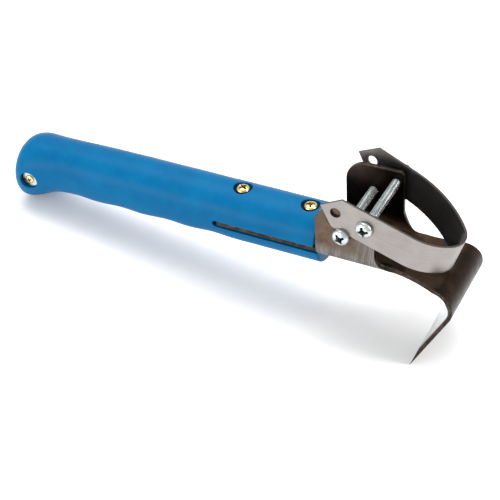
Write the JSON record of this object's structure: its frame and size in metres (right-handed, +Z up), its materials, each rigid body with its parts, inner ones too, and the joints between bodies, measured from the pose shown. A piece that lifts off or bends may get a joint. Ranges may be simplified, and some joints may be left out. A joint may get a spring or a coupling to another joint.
{
  "type": "strapping tensioner",
  "caption": "Hand strapping tensioner: blue moulded grip, bent steel plate with upright flanges and a hooked blade, and a spring steel loop on long cross-head bolts.",
  "frame": {"origin": "middle of the bounding box on the floor, with the tool standing on its blade's edge and its heel", "axes": "+Z up, +X from the butt towards the hooked blade, +Y away from the bolts' heads"},
  "size_m": [0.275, 0.062, 0.0927],
  "materials": {
    "grip_plastic": "semi-gloss moulded blue plastic",
    "blued_steel": "dark brown heat-scaled steel, worn along its edges",
    "spring_steel": "brushed warm grey spring steel",
    "zinc_steel": "bright zinc plating",
    "yellow_zinc": "yellow zinc plating"
  },
  "bodies": {
    "tool": {"handle": "grip_plastic", "hook_frame": "blued_steel", "clamp_bolt": "zinc_steel", "pivot_bolt": "zinc_steel", "clamp_nut": "zinc_steel", "pivot_inner_nut": "zinc_steel", "pivot_washer": "zinc_steel", "pivot_nut": "zinc_steel", "tang_screw_near": "yellow_zinc", "tang_screw_far": "yellow_zinc", "butt_washer": "zinc_steel", "butt_screw": "yellow_zinc"},
    "loop": {"loop_band": "spring_steel"}
  },
  "joints": [
    {"name": "loop_swing", "type": "hinge", "parent": "tool", "child": "loop", "pos_m": [0.08399, -0.0039, 0.07978], "axis": [0, 1, 0], "range_deg": [0, 5]}
  ]
}
